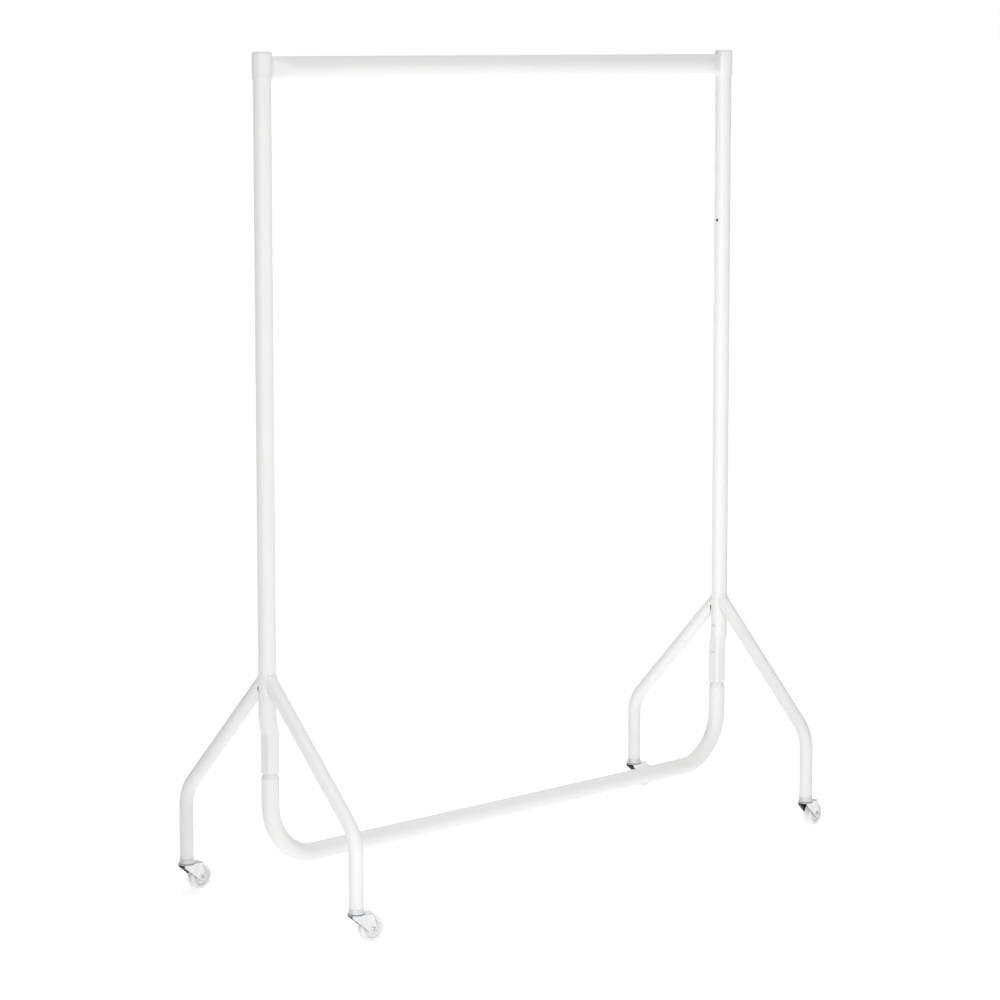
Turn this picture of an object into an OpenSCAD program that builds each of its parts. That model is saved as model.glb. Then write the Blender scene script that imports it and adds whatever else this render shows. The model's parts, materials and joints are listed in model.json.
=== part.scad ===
// Mobile garment rail: a round hanging rail on two uprights, each upright plugged into the
// post of a two-legged end frame, a U-shaped base bar between the two posts, and four
// swivel casters. +X runs along the rail, +Y to the rear, and +Z up from the floor. The
// origin is on the floor, midway between the uprights.

/* [Overall] */
// Distance between the axes of the two uprights
span = 1185; // [900:5:1500]
// Height of the hanging rail's axis above the floor
rail_z = 1506; // [1200:1:1800]
// Distance between the front and the rear foot axes of an end frame
foot_spread = 472; // [400:2:560]

/* [Tubes] */
// Outer diameter of the hanging rail
rail_d = 38; // [37:0.5:42]
// Outer diameter of the uprights, the posts and the base bar
upright_d = 31.8; // [31.6:0.1:32.2]
// Outer diameter of the legs
leg_d = 25.4; // [25:0.1:27]
// Wall thickness of the tubes
wall = 1.5; // [1.2:0.1:1.6]

/* [Hanging rail ends] */
// Width of the rail where it is pinched to meet a sleeve
pinch_w = 11; // [10:1:20]
// Length over which the rail narrows to that width
pinch_l = 37; // [20:1:60]
// Outer diameter of the sleeve that drops over an upright
sleeve_d = 35; // [34.8:0.1:36]
// How far a sleeve reaches below the underside of the rail
sleeve_drop = 1.5; // [0.5:0.5:4]
// How far a cap's crown stands above the top of the rail
cap_rise = 8; // [6:0.5:12]
// Height of the visible part of a cap
cap_h = 5; // [5:0.5:6]
// Radius of the cap's rounded edge
cap_edge_r = 4.5; // [3:0.5:4.5]

/* [End frames] */
// Height of the bottom of a post
post_bottom_z = 260; // [250:1:265]
// Height of the top of a post, where the upright's shoulder sits
post_top_z = 442; // [438:1:446]
// Width across the flats of the lower, squared part of a post
post_square = 26; // [25.5:0.1:27]
// Corner radius of the squared part
post_corner_r = 5; // [4:0.5:6]
// Height where the post starts to turn from round to square
post_round_z = 358; // [354:1:360]
// Height where the post is fully square
post_flat_z = 330; // [328:1:340]
// Offset of the squared part and of the base bar's ends from the upright axis, inwards
inset = 5; // [3:0.5:6]
// Lean of a leg's upper run from the vertical, in degrees
leg_lean = 43.5; // [40:0.5:46]
// Height where the axes of the two legs of an end frame would cross
leg_apex_z = 436.5; // [430:0.5:437]
// Radius of a leg's bend, on its centre line
leg_bend_r = 75; // [60:1:90]
// Height of the lower end of a leg tube
leg_bottom_z = 65; // [64:1:70]
// Height of the base bar's axis
base_z = 99.5; // [90:0.5:110]
// Radius of the base bar's bends, on the centre line
base_bend_r = 102; // [85:1:115]

/* [Snap buttons] */
// Diameter of a snap button
button_d = 6.8; // [6:0.1:7]
// How far a button stands out of the post's wall
button_proud = 3; // [2:0.5:3.5]
// Height of the button that holds the upright
upper_button_z = 374.5; // [373:0.5:376]
// Height of the button that holds the base bar
lower_button_z = 320; // [318:0.5:322]
// Diameter of the accessory hole in each upright's inner face
accessory_hole_d = 6.5; // [5:0.5:8]
// Height of the accessory hole
accessory_hole_z = 1196; // [1000:1:1250]

/* [Casters] */
// Wheel diameter
wheel_d = 45; // [42:0.5:46]
// Tread width
wheel_w = 16; // [14:0.5:16]
// Distance from the swivel axis back to the axle
trail = 28; // [25:0.5:29]
// Clear distance between the fork's side plates
fork_gap = 18.6; // [18.6:0.1:19.4]
// Thickness of the fork's sheet
fork_t = 1.6; // [1.4:0.1:1.8]
// Height of the top face of the fork
fork_top_z = 51; // [51:0.5:52]
// Diameter of the top bearing cup
cup_d = 29.5; // [29:0.5:31]
// Diameter of a bearing ball
ball_d = 4; // [3.6:0.1:4]
// Number of balls in a swivel bearing
ball_count = 10; // [8:1:12]
// Diameter of the swivel stem
stem_d = 8; // [8:0.5:9]
// Diameter of the axle rivet
axle_d = 5; // [5:0.1:5.4]
// Trail direction of each caster, in degrees from +X: front left, rear left, front right, rear right
caster_yaw = [-16, -2, 10, 0]; // [-180:1:180]

/* [Hidden] */
$fn = 96;

// Finishes
white_paint = [0.94, 0.94, 0.93];
white_nylon = [0.96, 0.96, 0.94];
zinc = [0.78, 0.79, 0.80];
steel = [0.62, 0.63, 0.65];

// Ends and sides, as signs along X and Y
left = -1;
right = 1;
front = -1;
rear = 1;

upright_x = span / 2;
upright_r = upright_d / 2;
bore_r = upright_r - wall;
slip = 0.1;                 // radial clearance of a tube pushed into another

// Hanging rail ends
sleeve_bottom_z = rail_z - rail_d / 2 - sleeve_drop;
sleeve_top_z = rail_z + rail_d / 2 + cap_rise - cap_h;
rail_end_x = upright_x - 13; // inside the sleeve's outline, where the rail is cut off
cap_plug_l = 12;

// Post and the spigots inside it
post_wall = 1.6;
upright_spigot_r = upright_r - post_wall - slip;
upright_spigot_bottom_z = post_round_z + 3;
bar_spigot_r = post_square / 2 - post_wall - slip;
bar_spigot_top_z = lower_button_z + 17;
bar_shoulder_z = post_bottom_z - 10;
lower_x = upright_x - inset;

// Legs, in their own plane: x outwards from the post's axis
foot_x = foot_spread / 2;
knee_z = leg_apex_z - foot_x / tan(leg_lean);
leg_bend_z = knee_z - leg_bend_r * tan(leg_lean / 2);
leg_notch_z = 416;          // the weld stops here, and a slot is open below it
leg_notch = 2.2;            // width of that slot, from the post to the leg's end

// Snap buttons and their springs
button_hole_d = button_d + 0.4;
button_collar_d = 10;
button_collar_t = 1;
leaf_t = 0.8;
leaf_w = 6;
leaf_l = 28;
leaf_gap = 0.4;

// Caster heights
wheel_r = wheel_d / 2;
axle_z = wheel_r;
fork_half = fork_gap / 2 + fork_t;
fork_front = 12;
fork_front_h = 5.5;
boss_r = 8;
race_r = 10;
ball_gap = 0.1;
cup_under_z = fork_top_z + ball_gap + ball_d;
socket_flange_t = 3.5;
cup_top_z = leg_bottom_z - socket_flange_t;
socket_plug_l = 36;
stem_top_z = leg_bottom_z + 30;
rivet_head_d = 9;
bush_d = 7;

// Puts a part of the right-hand end at either end
module at_end(side) mirror([side == left ? 1 : 0, 0, 0]) children();

// Puts a caster part, whose wheel trails along +X from the origin, under its leg
module at_caster(side, face, yaw)
    translate([side * upright_x, face * foot_x, 0]) rotate([0, 0, yaw]) children();

module ring(outer_r, inner_r, h) difference() {
    cylinder(r = outer_r, h = h);
    translate([0, 0, -1]) cylinder(r = inner_r, h = h + 2);
}

// A square outline with round corners
module round_square(side, corner_r) {
    square([side, side - 2 * corner_r], center = true);
    square([side - 2 * corner_r, side], center = true);
    for (sx = [-1, 1], sy = [-1, 1])
        translate([sx, sy] * (side / 2 - corner_r)) circle(r = corner_r);
}

// ---- Hanging rail ----

// Solid outline of half of the rail, shrunk all round by skin: round, then pinched front to rear;
// over reaches past its end
module rail_half(skin, over) {
    r = rail_d / 2 - skin;
    corner_r = pinch_w / 2 - skin;
    thin = 0.01;
    translate([0, 0, rail_z]) rotate([0, 90, 0]) {
        cylinder(r = r, h = rail_end_x - pinch_l);
        hull() {
            translate([0, 0, rail_end_x - pinch_l - thin]) cylinder(r = r, h = thin, $fn = 48);
            for (up = [-1, 1]) translate([up * (r - corner_r), 0, rail_end_x])
                cylinder(r = corner_r, h = thin + over, $fn = 32);
        }
    }
}

module hanging_rail() color(white_paint) difference() {
    for (side = [left, right]) at_end(side) rail_half(0, 0);
    for (side = [left, right]) at_end(side) rail_half(wall, 1);
    for (side = [left, right]) translate([side * upright_x, 0, rail_z - rail_d])
        cylinder(d = sleeve_d, h = 2 * rail_d);
}

module rail_sleeve() color(white_paint) translate([upright_x, 0, sleeve_bottom_z])
    ring(sleeve_d / 2, upright_r + slip, sleeve_top_z - sleeve_bottom_z);

module sleeve_cap() color(white_nylon) translate([upright_x, 0, sleeve_top_z]) {
    flat_r = sleeve_d / 2 - cap_edge_r;
    rotate_extrude() {
        square([sleeve_d / 2, cap_h - cap_edge_r]);
        square([flat_r, cap_h]);
        translate([flat_r, cap_h - cap_edge_r]) intersection() {
            circle(r = cap_edge_r);
            square(cap_edge_r);
        }
    }
    translate([0, 0, -cap_plug_l]) ring(bore_r - slip, bore_r - 2 * wall, cap_plug_l);
}

module left_rail_sleeve() at_end(left) rail_sleeve();
module right_rail_sleeve() at_end(right) rail_sleeve();
module left_sleeve_cap() at_end(left) sleeve_cap();
module right_sleeve_cap() at_end(right) sleeve_cap();

// ---- Uprights ----

// A tube whose lower end is swaged down to slide into the post
module upright() {
    spigot_bore_r = upright_spigot_r - wall;
    color(white_paint) difference() {
        translate([upright_x, 0, 0]) rotate_extrude() polygon([
            [spigot_bore_r, upright_spigot_bottom_z],
            [upright_spigot_r - 0.6, upright_spigot_bottom_z],
            [upright_spigot_r, upright_spigot_bottom_z + 2],
            [upright_spigot_r, post_top_z],
            [upright_r - 0.5, post_top_z],
            [upright_r, post_top_z + 0.8],
            [upright_r, sleeve_top_z],
            [bore_r, sleeve_top_z],
            [bore_r, post_top_z + 6],
            [spigot_bore_r, post_top_z + 2]
        ]);
        translate([upright_x, 0, upper_button_z]) rotate([0, -90, 0])
            cylinder(d = button_hole_d, h = 2 * upright_r);
        translate([upright_x, 0, accessory_hole_z]) rotate([0, -90, 0])
            cylinder(d = accessory_hole_d, h = 2 * upright_r);
    }
}

module left_upright() at_end(left) upright();
module right_upright() at_end(right) upright();

// ---- End frames ----

// Solid outline of a post, shrunk all round by skin; over reaches past both of its ends
module post_form(skin, over) {
    side = post_square - 2 * skin;
    corner_r = post_corner_r - skin;
    thin = 0.01;
    translate([upright_x, 0, post_round_z])
        cylinder(r = upright_r - skin, h = post_top_z - post_round_z + over);
    hull() {
        translate([upright_x, 0, post_round_z - thin]) cylinder(r = upright_r - skin, h = thin, $fn = 48);
        translate([lower_x, 0, post_flat_z]) linear_extrude(thin) round_square(side, corner_r, $fn = 48);
    }
    translate([lower_x, 0, post_bottom_z - over]) linear_extrude(post_flat_z - post_bottom_z + over)
        round_square(side, corner_r);
}

module post() color(white_paint) difference() {
    post_form(0, 0);
    post_form(post_wall, 1);
    translate([upright_x, 0, upper_button_z]) rotate([0, -90, 0])
        cylinder(d = button_hole_d, h = 2 * upright_r);
    translate([lower_x, 0, lower_button_z]) rotate([0, -90, 0])
        cylinder(d = button_hole_d, h = 2 * upright_r);
}

module left_post() at_end(left) post();
module right_post() at_end(right) post();

// The run of a leg at a given diameter: upright foot, bend, and the leaning part. The bend is wider
// by swell, and the straight parts run into it by lap, so that the three make one solid
module leg_run(d, swell) {
    lap = 0.4;
    translate([foot_x, 0, leg_bottom_z]) cylinder(d = d, h = leg_bend_z + lap - leg_bottom_z);
    translate([foot_x - leg_bend_r, 0, leg_bend_z]) {
        rotate([90, 0, 0]) rotate_extrude(angle = leg_lean)
            translate([leg_bend_r, 0]) circle(d = d + swell);
        rotate([0, -leg_lean, 0]) translate([leg_bend_r, 0, -lap])
            cylinder(d = d, h = (foot_x - leg_bend_r * (1 - cos(leg_lean))) / sin(leg_lean));
    }
}

// A leg reaching out along +X from the right-hand post's axis, with its upper end cut to the post
module leg() color(white_paint) difference() {
    leg_run(leg_d, 0.04);
    leg_run(leg_d - 2 * wall, -0.04);
    translate([0, 0, leg_apex_z - 2 * leg_d]) cylinder(r = upright_r, h = 4 * leg_d);
    translate([0, 0, leg_apex_z - 4 * leg_d])
        cylinder(r = upright_r + leg_notch, h = leg_notch_z - leg_apex_z + 4 * leg_d);
}

module leg_at(side, face) at_end(side) translate([upright_x, 0, 0]) rotate([0, 0, face * 90]) leg();

module front_left_leg() leg_at(left, front);
module rear_left_leg() leg_at(left, rear);
module front_right_leg() leg_at(right, front);
module rear_right_leg() leg_at(right, rear);

// Half of the base bar at a given skin depth: the straight, the bend, and the swaged riser
module base_half(skin, over) {
    r = upright_r - skin;
    translate([0, 0, base_z]) rotate([0, 90, 0]) cylinder(r = r, h = lower_x - base_bend_r);
    translate([lower_x - base_bend_r, 0, base_z + base_bend_r]) rotate([90, 0, 0])
        rotate_extrude(angle = -90) translate([base_bend_r, 0]) circle(r = r);
    translate([lower_x, 0, 0]) rotate_extrude() polygon([
        [0, base_z + base_bend_r],
        [r, base_z + base_bend_r],
        [r, bar_shoulder_z],
        [bar_spigot_r + 1 - skin, post_bottom_z],
        [bar_spigot_r - skin, post_bottom_z],
        [bar_spigot_r - skin, bar_spigot_top_z + over],
        [0, bar_spigot_top_z + over]
    ]);
}

module base_bar() color(white_paint) difference() {
    for (side = [left, right]) at_end(side) base_half(0, 0);
    for (side = [left, right]) at_end(side) base_half(wall, 1);
    for (side = [left, right]) at_end(side) translate([lower_x, 0, lower_button_z]) rotate([0, -90, 0])
        cylinder(d = button_hole_d, h = 2 * upright_r);
}

// ---- Snap buttons ----

// A button facing -X on its leaf. seat is the distance from the spigot's axis to the back of the
// collar, reach the distance to the tip, and up is 1 or -1 for the way that the leaf runs
module snap_button(seat, reach, up) color(zinc) {
    dome = 1.2;
    rotate([0, -90, 0]) {
        translate([0, 0, seat]) cylinder(d = button_collar_d, h = button_collar_t);
        translate([0, 0, seat]) rotate_extrude() {
            square([button_d / 2 - dome, reach - seat]);
            square([button_d / 2, reach - seat - dome]);
            translate([button_d / 2 - dome, reach - seat - dome]) intersection() {
                circle(r = dome);
                square(dome);
            }
        }
    }
    translate([-seat, -leaf_w / 2, up > 0 ? -button_collar_d / 2 : -leaf_l])
        cube([leaf_t, leaf_w, leaf_l + button_collar_d / 2]);
}

// The fixed half of the spring: the bend past the leaf's end, and the leg on the far wall
module button_spring(seat, back, up) color(steel) mirror([0, 0, up > 0 ? 0 : 1]) {
    bend_r = (seat + back) / 2;
    leaf_z = leaf_l + leaf_gap;
    translate([back - bend_r, leaf_w / 2, leaf_z]) rotate([90, 0, 0]) intersection() {
        difference() {
            cylinder(r = bend_r, h = leaf_w);
            translate([0, 0, -1]) cylinder(r = bend_r - leaf_t, h = leaf_w + 2);
        }
        translate([-2 * bend_r, 0, 0]) cube([4 * bend_r, 2 * bend_r, leaf_w]);
    }
    translate([back - leaf_t, -leaf_w / 2, -button_collar_d / 2])
        cube([leaf_t, leaf_w, leaf_z + button_collar_d / 2]);
}

upper_bore_r = upright_spigot_r - wall;
lower_bore_r = bar_spigot_r - wall;
// Where a flat piece of the given width meets the inside of a round bore
function chord_seat(bore, width) = sqrt(bore * bore - width * width / 4);
function collar_seat(bore) = chord_seat(bore, button_collar_d) - button_collar_t - 0.1;
function leaf_seat(bore) = chord_seat(bore, leaf_w);

module upper_snap_button() translate([upright_x, 0, upper_button_z])
    snap_button(collar_seat(upper_bore_r), upright_r + button_proud, 1);
module lower_snap_button() translate([lower_x, 0, lower_button_z])
    snap_button(collar_seat(lower_bore_r), post_square / 2 + button_proud, -1);
module upper_button_spring() translate([upright_x, 0, upper_button_z])
    button_spring(collar_seat(upper_bore_r), leaf_seat(upper_bore_r), 1);
module lower_button_spring() translate([lower_x, 0, lower_button_z])
    button_spring(collar_seat(lower_bore_r), leaf_seat(lower_bore_r), -1);

module upper_left_snap_button() at_end(left) upper_snap_button();
module lower_left_snap_button() at_end(left) lower_snap_button();
module upper_right_snap_button() at_end(right) upper_snap_button();
module lower_right_snap_button() at_end(right) lower_snap_button();
module upper_left_button_spring() at_end(left) upper_button_spring();
module lower_left_button_spring() at_end(left) lower_button_spring();
module upper_right_button_spring() at_end(right) upper_button_spring();
module lower_right_button_spring() at_end(right) lower_button_spring();

// ---- Caster parts, around a swivel axis at the origin with the wheel trailing along +X ----

// Nylon plug that closes the leg and holds the stem
module socket() color(white_nylon) difference() {
    union() {
        translate([0, 0, cup_top_z]) cylinder(d = leg_d + 1, h = socket_flange_t);
        translate([0, 0, leg_bottom_z]) cylinder(r = leg_d / 2 - wall - slip, h = socket_plug_l);
    }
    translate([0, 0, cup_top_z - 1]) cylinder(d = stem_d + slip, h = stem_top_z - cup_top_z + 1.5);
}

// Swivel stem, with a riveted head under the fork's top and a grip groove near its upper end
module stem() color(zinc) difference() {
    head_z = fork_top_z - fork_t - 0.3;
    union() {
        translate([0, 0, head_z]) cylinder(d = stem_d, h = stem_top_z - head_z);
        translate([0, 0, head_z - 2]) cylinder(d = 13, h = 2);
    }
    translate([0, 0, stem_top_z - 8]) ring(stem_d, stem_d / 2 - 0.8, 2);
}

// Top bearing cup, tapering up to the leg and hollow over the balls
module bearing_cup() color(zinc) {
    rim_z = fork_top_z + 1;
    rotate_extrude() difference() {
        polygon([
            [0, rim_z],
            [cup_d / 2, rim_z],
            [cup_d / 2, rim_z + 1.5],
            [cup_d / 2 - 0.8, rim_z + 3],
            [leg_d / 2 - 0.5, cup_top_z],
            [0, cup_top_z]
        ]);
        square([cup_d / 2 - 2, cup_under_z]);
        square([stem_d / 2, cup_top_z + 1]);
    }
}

module swivel_balls() color(steel) for (i = [0 : ball_count - 1])
    rotate([0, 0, i * 360 / ball_count]) translate([race_r, 0, cup_under_z - ball_d / 2]) sphere(d = ball_d);

// Point where a line from p touches the circle of radius r about c; turn is 1 or -1
function tangent(p, c, r, turn) =
    let (v = p - c, a = atan2(v[1], v[0]) + turn * acos(r / norm(v))) c + r * [cos(a), sin(a)];

// Outline of a fork's side plate, in the swivel plane
module side_plate_outline() {
    axle = [trail, axle_z];
    front_top = [-fork_front, fork_top_z];
    front_low = [-fork_front, fork_top_z - fork_front_h];
    back_top = [trail + 0.5, fork_top_z];
    polygon([front_top, front_low, tangent(front_low, axle, boss_r, 1), axle,
        tangent(back_top, axle, boss_r, -1), back_top]);
    translate(axle) circle(r = boss_r);
}

// Pressed steel fork: a round-fronted top and two raked side plates
module fork() color(zinc) difference() {
    union() {
        for (y = [-fork_half, fork_gap / 2]) translate([0, y + fork_t, 0]) rotate([90, 0, 0])
            linear_extrude(fork_t) side_plate_outline();
        translate([0, 0, fork_top_z - fork_t]) {
            cylinder(d = cup_d - 1, h = fork_t);
            translate([-fork_front, -fork_half, 0]) cube([fork_front + trail + 0.5, 2 * fork_half, fork_t]);
        }
    }
    translate([0, 0, fork_top_z - 2 * fork_t]) cylinder(d = stem_d + slip, h = 3 * fork_t);
    translate([trail, 2 * fork_half, axle_z]) rotate([90, 0, 0]) cylinder(d = axle_d, h = 4 * fork_half);
}

// Tubular axle rivet with a dished head at each end
module axle() color(steel) translate([trail, 0, axle_z]) rotate([90, 0, 0]) difference() {
    head_t = 2;
    union() {
        translate([0, 0, -fork_half]) cylinder(d = axle_d, h = 2 * fork_half);
        for (side = [-1, 1]) mirror([0, 0, side < 0 ? 1 : 0]) translate([0, 0, fork_half]) {
            cylinder(d = rivet_head_d, h = head_t - 1);
            translate([0, 0, head_t - 1]) cylinder(d1 = rivet_head_d, d2 = rivet_head_d - 2.4, h = 1);
        }
    }
    for (side = [-1, 1]) mirror([0, 0, side < 0 ? 1 : 0]) translate([0, 0, fork_half + head_t - 1.5])
        cylinder(d = 3, h = 3);
}

// Steel tube clamped between the side plates, on which the wheel turns
module axle_bush() color(steel) translate([trail, fork_gap / 2, axle_z]) rotate([90, 0, 0])
    ring(bush_d / 2, axle_d / 2, fork_gap);

// Nylon wheel with a round-edged tread, recessed sides and a full-width hub
module wheel() {
    edge_r = 3.5;
    half = wheel_w / 2;
    hub_half = fork_gap / 2 - 0.25;
    hub_r = 8;
    recess_r = 16.5;
    recess = 3;
    color(white_nylon) translate([trail, 0, axle_z]) rotate([90, 0, 0]) rotate_extrude() difference() {
        union() {
            translate([0, -half]) square([wheel_r - edge_r, wheel_w]);
            translate([0, -half + edge_r]) square([wheel_r, wheel_w - 2 * edge_r]);
            for (y = [-half + edge_r, half - edge_r]) translate([wheel_r - edge_r, y]) circle(r = edge_r);
            translate([0, -hub_half]) square([hub_r, 2 * hub_half]);
        }
        for (y = [-half - 1, half - recess]) translate([hub_r, y]) square([recess_r - hub_r, recess + 1]);
        translate([0, -fork_gap]) square([bush_d / 2 + 0.05, 2 * fork_gap]);
    }
}

module front_left() at_caster(left, front, caster_yaw[0]) children();
module rear_left() at_caster(left, rear, caster_yaw[1]) children();
module front_right() at_caster(right, front, caster_yaw[2]) children();
module rear_right() at_caster(right, rear, caster_yaw[3]) children();

module front_left_socket() front_left() socket();
module rear_left_socket() rear_left() socket();
module front_right_socket() front_right() socket();
module rear_right_socket() rear_right() socket();
module front_left_stem() front_left() stem();
module rear_left_stem() rear_left() stem();
module front_right_stem() front_right() stem();
module rear_right_stem() rear_right() stem();
module front_left_bearing_cup() front_left() bearing_cup();
module rear_left_bearing_cup() rear_left() bearing_cup();
module front_right_bearing_cup() front_right() bearing_cup();
module rear_right_bearing_cup() rear_right() bearing_cup();
module front_left_swivel_balls() front_left() swivel_balls();
module rear_left_swivel_balls() rear_left() swivel_balls();
module front_right_swivel_balls() front_right() swivel_balls();
module rear_right_swivel_balls() rear_right() swivel_balls();
module front_left_fork() front_left() fork();
module rear_left_fork() rear_left() fork();
module front_right_fork() front_right() fork();
module rear_right_fork() rear_right() fork();
module front_left_axle() front_left() axle();
module rear_left_axle() rear_left() axle();
module front_right_axle() front_right() axle();
module rear_right_axle() rear_right() axle();
module front_left_axle_bush() front_left() axle_bush();
module rear_left_axle_bush() rear_left() axle_bush();
module front_right_axle_bush() front_right() axle_bush();
module rear_right_axle_bush() rear_right() axle_bush();
module front_left_wheel() front_left() wheel();
module rear_left_wheel() rear_left() wheel();
module front_right_wheel() front_right() wheel();
module rear_right_wheel() rear_right() wheel();

hanging_rail();
left_rail_sleeve();
right_rail_sleeve();
left_sleeve_cap();
right_sleeve_cap();
left_upright();
right_upright();
left_post();
right_post();
front_left_leg();
rear_left_leg();
front_right_leg();
rear_right_leg();
base_bar();
upper_left_snap_button();
lower_left_snap_button();
upper_right_snap_button();
lower_right_snap_button();
upper_left_button_spring();
lower_left_button_spring();
upper_right_button_spring();
lower_right_button_spring();
front_left_socket();
rear_left_socket();
front_right_socket();
rear_right_socket();
front_left_stem();
rear_left_stem();
front_right_stem();
rear_right_stem();
front_left_bearing_cup();
rear_left_bearing_cup();
front_right_bearing_cup();
rear_right_bearing_cup();
front_left_swivel_balls();
rear_left_swivel_balls();
front_right_swivel_balls();
rear_right_swivel_balls();
front_left_fork();
rear_left_fork();
front_right_fork();
rear_right_fork();
front_left_axle();
rear_left_axle();
front_right_axle();
rear_right_axle();
front_left_axle_bush();
rear_left_axle_bush();
front_right_axle_bush();
rear_right_axle_bush();
front_left_wheel();
rear_left_wheel();
front_right_wheel();
rear_right_wheel();
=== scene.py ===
"""Mobile garment rail: looks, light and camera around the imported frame. Metres, +Z up, floor at 0."""
import math

import bmesh
import bpy
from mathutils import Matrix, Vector
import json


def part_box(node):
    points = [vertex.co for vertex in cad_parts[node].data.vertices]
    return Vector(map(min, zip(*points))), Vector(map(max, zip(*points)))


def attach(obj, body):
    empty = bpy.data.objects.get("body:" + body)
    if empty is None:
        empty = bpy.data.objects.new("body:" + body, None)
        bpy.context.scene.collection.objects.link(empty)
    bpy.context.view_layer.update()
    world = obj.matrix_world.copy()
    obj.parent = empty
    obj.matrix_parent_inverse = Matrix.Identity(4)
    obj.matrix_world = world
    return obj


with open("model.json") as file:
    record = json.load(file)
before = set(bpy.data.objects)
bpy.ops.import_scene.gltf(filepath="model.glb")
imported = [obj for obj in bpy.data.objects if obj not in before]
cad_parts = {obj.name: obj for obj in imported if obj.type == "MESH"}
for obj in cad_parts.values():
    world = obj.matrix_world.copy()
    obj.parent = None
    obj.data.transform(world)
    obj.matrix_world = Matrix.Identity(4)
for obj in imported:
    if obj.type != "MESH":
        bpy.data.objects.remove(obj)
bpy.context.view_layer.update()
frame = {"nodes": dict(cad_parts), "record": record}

# The camera: its place, the heading of its view from +Y towards +X, and its tilt from level, in radians
CAMERA_PLACE = (-4.1462, -4.3046, 1.5584)
CAMERA_HEADING, CAMERA_TILT = 0.76401, -0.1192
CAMERA_LENS_MM, SENSOR_MM, CAMERA_SHIFT_Y = 115.13, 36.0, -0.08

# The world's horizontal directions to the camera's left and right, across its view
VIEW_LEFT, VIEW_RIGHT = (-0.722, 0.692, 0.0), (0.722, -0.692, 0.0)

# Soft boxes: name, place, the point it aims at, width and height, watts, spread in degrees
LIGHTS = (
    ("left_end_box", (-0.20, -1.50, 0.85), (-0.59, 0, 0.8), (0.8, 1.8), 1.4, 110),
    ("right_end_box", (-1.33, -0.94, 0.85), (0.59, 0, 0.8), (0.8, 1.8), 2.05, 55),
    ("rear_box", (0.83, 0.87, 0.85), (0, 0, 0.85), (0.7, 1.8), 2, 180),
)

WHITE = (1, 1, 1, 1)
FLOOR_HALF = 60.0

# The tubes that the weld beads join: their radii, the radius of the pinched rail's outline at its top and
# bottom, the legs' lean, the height where their axes cross, and the top of the slots under the welds
CORNERS = ("front_left", "rear_left", "front_right", "rear_right")
POST_R, LEG_R, SLEEVE_R, RAIL_R, PINCH_R = 0.0159, 0.0127, 0.0175, 0.019, 0.0067
LEG_LEAN, LEG_APEX_Z, SLOT_TOP_Z = math.radians(43.5), 0.4365, 0.416

# The beads: their radii, the length of one ripple, and the sides of their section
LEG_BEAD_R, RAIL_BEAD_R, FILLET_R = 0.0017, 0.0012, 0.0009
BEAD_PITCH, FILLET_PITCH = 0.0023, 0.004
BEAD_SIDES = 12


# ---------------------------------------------------------------- camera, light and floor

def place(name, data):
    """A new object in the scene's collection."""
    thing = bpy.data.objects.new(name, data)
    bpy.context.scene.collection.objects.link(thing)
    return thing


def make_camera():
    """The camera at the photograph's angle: level with the rail, looking down across the long side."""
    data = bpy.data.cameras.new("camera")
    data.lens, data.sensor_width, data.shift_y = CAMERA_LENS_MM, SENSOR_MM, CAMERA_SHIFT_Y
    data.clip_start, data.clip_end = 0.1, 200
    cam = place("camera", data)
    heading, level = CAMERA_HEADING, math.cos(CAMERA_TILT)
    look = Vector((math.sin(heading) * level, math.cos(heading) * level, math.sin(CAMERA_TILT)))
    cam.location = CAMERA_PLACE
    cam.rotation_mode = "QUATERNION"
    cam.rotation_quaternion = look.to_track_quat("-Z", "Y")
    bpy.context.scene.camera = cam


def make_lights():
    """The soft boxes. The camera doesn't see them."""
    for name, spot, aim, size, watts, spread in LIGHTS:
        data = bpy.data.lights.new(name, "AREA")
        data.shape, data.size, data.size_y = "RECTANGLE", size[0], size[1]
        data.energy, data.spread = watts, math.radians(spread)
        lamp = place(name, data)
        lamp.location = spot
        lamp.rotation_euler = (Vector(aim) - Vector(spot)).to_track_quat("-Z", "Y").to_euler()
        lamp.visible_camera = False


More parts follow.
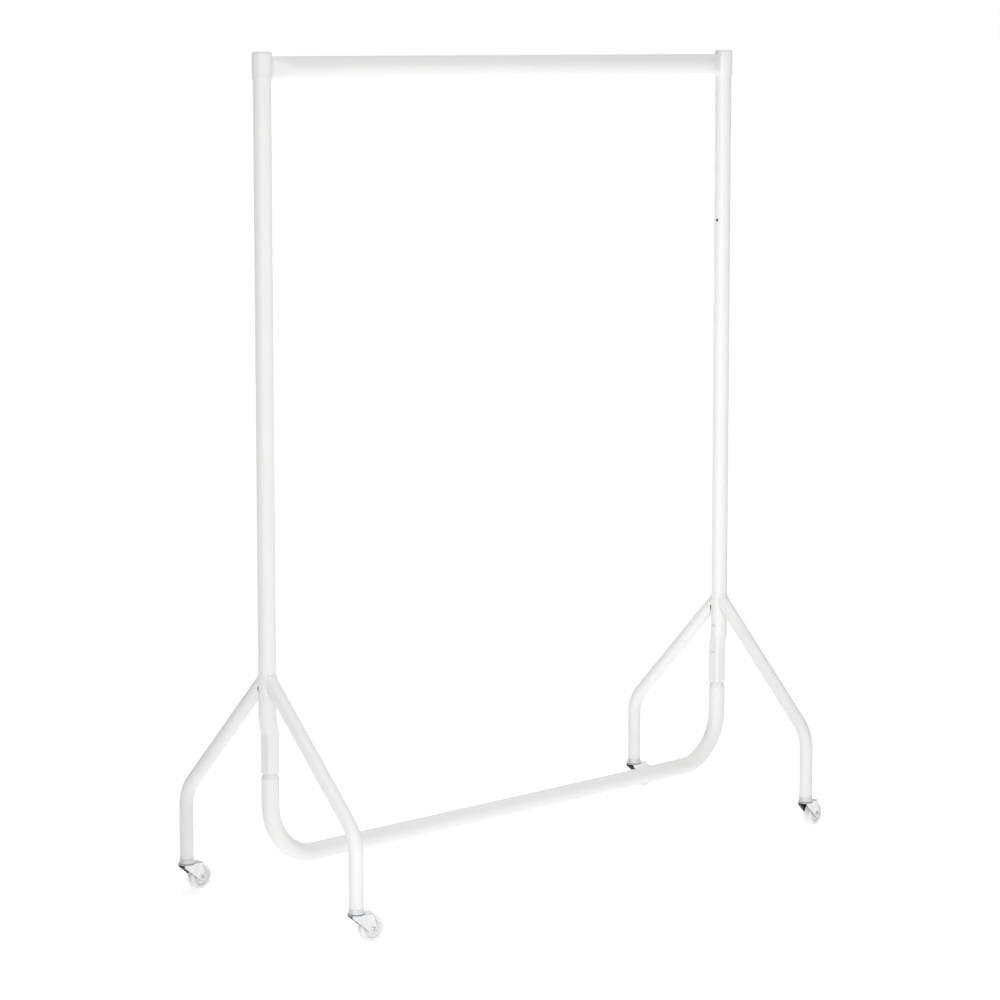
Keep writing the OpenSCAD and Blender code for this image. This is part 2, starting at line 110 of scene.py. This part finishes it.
def make_world():
    """White to look at. As a light it is weaker to the camera's left and right, and stronger overhead."""
    world = bpy.data.worlds.new("studio")
    bpy.context.scene.world = world
    world.use_nodes = True
    tree = world.node_tree
    tree.nodes.clear()

    def node(kind, **settings):
        n = tree.nodes.new(kind)
        for key, value in settings.items():
            setattr(n, key, value)
        return n

    direction = node("ShaderNodeTexCoord").outputs["Generated"]

    def toward(axis, low, high, start, end):
        """A strength from low to high, as the cosine of the angle to an axis goes from start to end."""
        dot = node("ShaderNodeVectorMath", operation="DOT_PRODUCT")
        dot.inputs[1].default_value = axis
        tree.links.new(direction, dot.inputs[0])
        ramp = node("ShaderNodeMapRange", interpolation_type="SMOOTHSTEP")
        for key, value in zip(("From Min", "From Max", "To Min", "To Max"), (start, end, low, high)):
            ramp.inputs[key].default_value = value
        tree.links.new(dot.outputs["Value"], ramp.inputs["Value"])
        return ramp.outputs["Result"]

    def times(a, b):
        product = node("ShaderNodeMath", operation="MULTIPLY")
        tree.links.new(a, product.inputs[0])
        tree.links.new(b, product.inputs[1])
        return product.outputs[0]

    sides = times(toward(VIEW_LEFT, 0.62, 0.04, 0.2, 0.9), toward(VIEW_RIGHT, 1.0, 0.35, 0.3, 0.9))
    lit, seen = node("ShaderNodeBackground"), node("ShaderNodeBackground")
    for background in (lit, seen):
        background.inputs["Color"].default_value = WHITE
    tree.links.new(times(sides, toward((0, 0, 1), 1.0, 1.9, 0.3, 0.95)), lit.inputs["Strength"])
    mix = node("ShaderNodeMixShader")
    tree.links.new(node("ShaderNodeLightPath").outputs["Is Camera Ray"], mix.inputs[0])
    tree.links.new(lit.outputs[0], mix.inputs[1])
    tree.links.new(seen.outputs[0], mix.inputs[2])
    tree.links.new(mix.outputs[0], node("ShaderNodeOutputWorld").inputs["Surface"])


def make_floor():
    mesh = bpy.data.meshes.new("floor")
    r = FLOOR_HALF
    mesh.from_pydata([(-r, -r, 0), (r, -r, 0), (r, r, 0), (-r, r, 0)], [], [(0, 1, 2, 3)])
    mesh.materials.append(pale_floor())
    place("floor", mesh)


# ---------------------------------------------------------------- materials

class Nodes:
    """A short hand for one material's node tree. Scales are per metre, and distances are in metres."""

    def __init__(self, name):
        self.material = bpy.data.materials.new(name)
        self.material.use_nodes = True
        self.tree = self.material.node_tree
        self.shader = next(n for n in self.tree.nodes if n.type == "BSDF_PRINCIPLED")
        self.coord = self.tree.nodes.new("ShaderNodeTexCoord").outputs["Object"]

    def link(self, a, b):
        self.tree.links.new(a, b)

    def set(self, **values):
        """Gives the shader its numbers and colours that are the same all over."""
        for key, value in values.items():
            self.shader.inputs[key.replace("_", " ")].default_value = value

    def finish(self, colour, roughness=None, normal=None):
        """Links the surface's own colour, roughness and normal to the shader."""
        for key, value in (("Base Color", colour), ("Roughness", roughness), ("Normal", normal)):
            if value is not None:
                self.link(value, self.shader.inputs[key])
        return self.material

    def noise(self, scale, detail=3.0, roughness=0.5, stretch=None):
        vector = self.coord
        if stretch:
            m = self.tree.nodes.new("ShaderNodeMapping")
            m.inputs["Scale"].default_value = stretch
            self.link(self.coord, m.inputs["Vector"])
            vector = m.outputs["Vector"]
        n = self.tree.nodes.new("ShaderNodeTexNoise")
        for key, value in (("Scale", scale), ("Detail", detail), ("Roughness", roughness)):
            n.inputs[key].default_value = value
        self.link(vector, n.inputs["Vector"])
        return n.outputs["Fac"]

    def spread(self, value, low, high, start=0.0, end=1.0):
        """Low to high, as the value goes from start to end."""
        n = self.tree.nodes.new("ShaderNodeMapRange")
        for key, number in (("From Min", start), ("From Max", end), ("To Min", low), ("To Max", high)):
            n.inputs[key].default_value = number
        self.link(value, n.inputs["Value"])
        return n.outputs["Result"]

    def mix(self, factor, first, second):
        """The first colour at 0 to the second at 1. Each is three numbers, or another node's output."""
        n = self.tree.nodes.new("ShaderNodeMix")
        n.data_type = "RGBA"
        for key, colour in (("A", first), ("B", second)):
            if isinstance(colour, tuple):
                n.inputs[key].default_value = (*colour, 1)
            else:
                self.link(colour, n.inputs[key])
        self.link(factor, n.inputs["Factor"])
        return n.outputs["Result"]

    def nook_shade_mask(self, reach, start, end):
        """A mask for painted shade: 1 in open air, going to 0 in nooks narrower than about twice the
        reach.
        """
        n = self.tree.nodes.new("ShaderNodeAmbientOcclusion")
        n.samples = 8
        n.inputs["Distance"].default_value = reach
        return self.spread(n.outputs["AO"], 0, 1, start, end)

    def edge(self, radius, start, end):
        """1 on flat ground, going to 0 within a radius of a sharp edge."""
        rounded = self.tree.nodes.new("ShaderNodeBevel")
        rounded.samples = 6
        rounded.inputs["Radius"].default_value = radius
        true = self.tree.nodes.new("ShaderNodeNewGeometry")
        dot = self.tree.nodes.new("ShaderNodeVectorMath")
        dot.operation = "DOT_PRODUCT"
        self.link(rounded.outputs["Normal"], dot.inputs[0])
        self.link(true.outputs["Normal"], dot.inputs[1])
        return self.spread(dot.outputs["Value"], 0, 1, start, end)

    def bump(self, height, distance, strength=0.5, under=None):
        n = self.tree.nodes.new("ShaderNodeBump")
        n.inputs["Distance"].default_value = distance
        n.inputs["Strength"].default_value = strength
        self.link(height, n.inputs["Height"])
        if under is not None:
            self.link(under, n.inputs["Normal"])
        return n.outputs["Normal"]


def powder_coat():
    """Satin white powder coat: fine orange peel, a slight unevenness of the film and faint rub marks."""
    m = Nodes("white_powder_coat")
    film = m.spread(m.noise(9.0, 4.0, 0.6), 0, 1, 0.3, 0.7)
    rub = m.spread(m.noise(55.0, 6.0, 0.65, (1, 1, 0.35)), 0, 0.35, 0.66, 0.82)
    colour = m.mix(rub, m.mix(film, (0.845, 0.847, 0.842), (0.868, 0.866, 0.858)), (0.76, 0.755, 0.74))
    peel = m.bump(m.noise(620.0, 2.0), 0.00006)
    wave = m.bump(m.noise(150.0, 2.0), 0.00012, 0.35, peel)
    m.set(Specular_IOR_Level=0.5)
    return m.finish(colour, m.spread(m.noise(40.0), 0.30, 0.42), wave)


def plug_plastic():
    """The sockets' and caps' plastic, faintly mottled."""
    m = Nodes("plug_plastic")
    colour = m.mix(m.noise(60.0, 4.0), (0.82, 0.82, 0.80), (0.87, 0.87, 0.85))
    m.set(Subsurface_Weight=0.12, Subsurface_Radius=(0.002, 0.002, 0.0018), Subsurface_Scale=1.0)
    grain = m.bump(m.noise(900.0, 3.0, 0.6), 0.00004)
    return m.finish(colour, m.spread(m.noise(180.0), 0.38, 0.52), grain)


def wheel_nylon():
    """Off-white nylon with a little grime in its grain."""
    m = Nodes("wheel_nylon")
    grime = m.spread(m.noise(240.0, 5.0, 0.7), 0, 0.5, 0.56, 0.74)
    colour = m.mix(m.noise(90.0, 4.0, 0.6), (0.845, 0.845, 0.84), (0.90, 0.90, 0.895))
    colour = m.mix(grime, colour, (0.74, 0.735, 0.725))
    grain = m.bump(m.noise(700.0, 4.0, 0.6), 0.00005, 0.6)
    m.set(Subsurface_Weight=0.25, Subsurface_Radius=(0.004, 0.004, 0.004), Subsurface_Scale=1.0)
    return m.finish(colour, m.spread(m.noise(320.0), 0.30, 0.46), grain)


def zinc_plate(name, metallic, rough):
    """Bright zinc over pressed steel: a cloudy film and fine draw lines, with painted shade in its nooks
    and dark lines at its edges, partly its darker cut edges and partly painted shade and dark reflection.
    """
    m = Nodes(name)
    cloud = m.spread(m.noise(130.0, 5.0, 0.65), 0, 1, 0.3, 0.7)
    colour = m.mix(cloud, (0.71, 0.72, 0.735), (0.85, 0.853, 0.858))
    # Dark lines along sharp edges: partly the plate's darker cut edges, partly painted shade and dark
    # reflection along its bends
    colour = m.mix(m.edge(0.0014, 0.86, 0.995), (0.07, 0.07, 0.075), colour)
    # Painted shade: near black in the nooks inside the fork and under the cup, where little light reaches
    colour = m.mix(m.nook_shade_mask(0.022, 0.32, 0.66), (0.012, 0.012, 0.013), colour)
    roughness = m.spread(m.noise(420.0, 4.0, 0.7), rough - 0.08, rough + 0.08)
    m.set(Metallic=metallic)
    return m.finish(colour, roughness, m.bump(m.noise(800.0, 3.0, 0.6, (1, 1, 0.12)), 0.00003))


def button_zinc():
    """The snap buttons: satin zinc, a little cloudy."""
    m = Nodes("button_zinc")
    colour = m.mix(m.noise(300.0, 4.0), (0.78, 0.785, 0.79), (0.86, 0.862, 0.865))
    m.set(Metallic=0.6)
    return m.finish(colour, m.spread(m.noise(500.0), 0.34, 0.48), m.bump(m.noise(1200.0, 2.0), 0.00002))


def bare_steel():
    """Axles, their bushes, bearing balls and springs: bright steel, with painted shade and dark
    reflection as dark lines along its edges.
    """
    m = Nodes("bare_steel")
    colour = m.mix(m.noise(220.0, 5.0, 0.6), (0.66, 0.665, 0.68), (0.82, 0.825, 0.83))
    # Painted shade and dark reflection: near-black lines within about a millimetre of sharp edges, such
    # as the ring round each axle head
    colour = m.mix(m.edge(0.0011, 0.86, 0.995), (0.05, 0.05, 0.055), colour)
    m.set(Metallic=1.0)
    return m.finish(colour, m.spread(m.noise(600.0), 0.20, 0.40), m.bump(m.noise(1400.0, 2.0), 0.00002))


def pale_floor():
    """Near white, and lit a little from within, so that it stays as pale as the photograph's ground."""
    m = Nodes("pale_floor")
    m.set(Roughness=0.9, Specular_IOR_Level=0.1, Emission_Color=WHITE, Emission_Strength=0.34)
    return m.finish(m.mix(m.noise(0.8, 2.0), (0.93, 0.93, 0.93), (0.95, 0.95, 0.95)))


MATERIALS = {
    "white_powder_coat": powder_coat(),
    "plug_plastic": plug_plastic(),
    "wheel_nylon": wheel_nylon(),
    "zinc_plate": zinc_plate("zinc_plate", 1.0, 0.30),
    "button_zinc": button_zinc(),
    "bare_steel": bare_steel(),
}
SATIN_ZINC = zinc_plate("satin_zinc", 0.35, 0.60)


def finish_cad_nodes():
    """Every CAD node takes its slot's material; the bearing cups have the slot's satin variant."""
    for part in frame["record"]["subparts"]:
        name = part["node"]
        materials = frame["nodes"][name].data.materials
        materials.clear()
        materials.append(SATIN_ZINC if name.endswith("bearing_cup") else MATERIALS[part["material_slot"]])


# ---------------------------------------------------------------- weld beads

def bead(name, path, radius, closed=False, pitch=BEAD_PITCH):
    """A welder's bead along a path: rippled along its length, and tapered to nothing at its open ends."""
    path = [Vector(p) for p in path]
    count = len(path)
    turns = [2 * math.pi * k / BEAD_SIDES for k in range(BEAD_SIDES)]
    along = [0.0]
    for a, b in zip(path, path[1:]):
        along.append(along[-1] + (b - a).length)
    mesh = bmesh.new()
    rings = []
    for i, point in enumerate(path):
        before = path[i - 1] if i or closed else point
        after = path[(i + 1) % count] if i < count - 1 or closed else point
        ahead = (after - before).normalized()
        side = ahead.cross(Vector((0, 0, 1)) if abs(ahead.z) < 0.9 else Vector((0, 1, 0))).normalized()
        up = side.cross(ahead)
        ripple = 1 + 0.09 * math.cos(2 * math.pi * along[i] / pitch) + 0.05 * math.sin(611 * along[i])
        end = 1.0 if closed else min(1.0, min(along[i], along[-1] - along[i]) / (1.6 * radius))
        r = radius * ripple * math.sqrt(max(0.02, end * (2 - end)))
        rings.append([mesh.verts.new(point + r * (math.cos(a) * side + math.sin(a) * up)) for a in turns])
    pairs = list(zip(rings, rings[1:])) + ([(rings[-1], rings[0])] if closed else [])
    for first, second in pairs:
        for k in range(BEAD_SIDES):
            n = (k + 1) % BEAD_SIDES
            mesh.faces.new((first[k], first[n], second[n], second[k]))
    if not closed:
        mesh.faces.new(rings[0][::-1])
        mesh.faces.new(rings[-1])
    bmesh.ops.recalc_face_normals(mesh, faces=mesh.faces)
    data = bpy.data.meshes.new(name)
    mesh.to_mesh(data)
    mesh.free()
    for face in data.polygons:
        face.use_smooth = True
    data.materials.append(MATERIALS["white_powder_coat"])
    piece = place(name, data)
    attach(piece, "frame")


def upright_axis(side):
    """The X of an upright's axis."""
    low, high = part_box(side + "_upright")
    return (low[0] + high[0]) / 2


def leg_welds():
    """The bead over the top and down both sides of every leg, where it meets its post."""
    for corner in CORNERS:
        face, side = corner.split("_")
        facing = -1 if face == "front" else 1
        axis = upright_axis(side)
        path = []
        for degrees in range(-40, 221):  # round the leg, from under one side, over the top
            turn = math.radians(degrees)
            across = LEG_R * math.cos(turn)
            out = math.sqrt(POST_R ** 2 - across ** 2)
            run = (out - LEG_R * math.sin(turn) * math.cos(LEG_LEAN)) / math.sin(LEG_LEAN)
            z = LEG_APEX_Z - run * math.cos(LEG_LEAN) + LEG_R * math.sin(turn) * math.sin(LEG_LEAN)
            if z > SLOT_TOP_Z - 0.001:
                path.append((axis + across, facing * out, z))
        bead(corner + "_leg_weld", path, LEG_BEAD_R)


def pinched_outline(steps=24):
    """The rail's pinched end round its axis, as Y and Z: two half circles joined by two flats."""
    flat = RAIL_R - PINCH_R
    outline = []
    for up in (1, -1):
        for k in range(steps):
            a = math.pi * k / steps
            outline.append((up * PINCH_R * math.cos(a), up * (flat + PINCH_R * math.sin(a))))
        for k in range(steps):
            outline.append((-up * PINCH_R, up * flat * (1 - 2 * k / steps)))
    return outline


def rail_welds():
    """The bead round each end of the hanging rail, on its sleeve, and the fillet under the sleeve."""
    low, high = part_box("hanging_rail")
    rail_z = (low[2] + high[2]) / 2
    for side, inward in (("left", 1), ("right", -1)):
        axis = upright_axis(side)
        loop = [(axis + inward * math.sqrt(SLEEVE_R ** 2 - y * y), y, rail_z + z)
                for y, z in pinched_outline()]
        bead(side + "_rail_weld", loop, RAIL_BEAD_R, closed=True)
        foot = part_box(side + "_rail_sleeve")[0][2] - 0.0002
        ring = [(axis + POST_R * math.cos(a), POST_R * math.sin(a), foot)
                for a in (math.radians(1.5 * k) for k in range(240))]
        bead(side + "_sleeve_fillet", ring, FILLET_R, closed=True, pitch=FILLET_PITCH)


# ---------------------------------------------------------------- the scene

make_camera()
make_world()
make_floor()
make_lights()
finish_cad_nodes()
leg_welds()
rail_welds()
bpy.context.scene.view_settings.view_transform = "Standard"
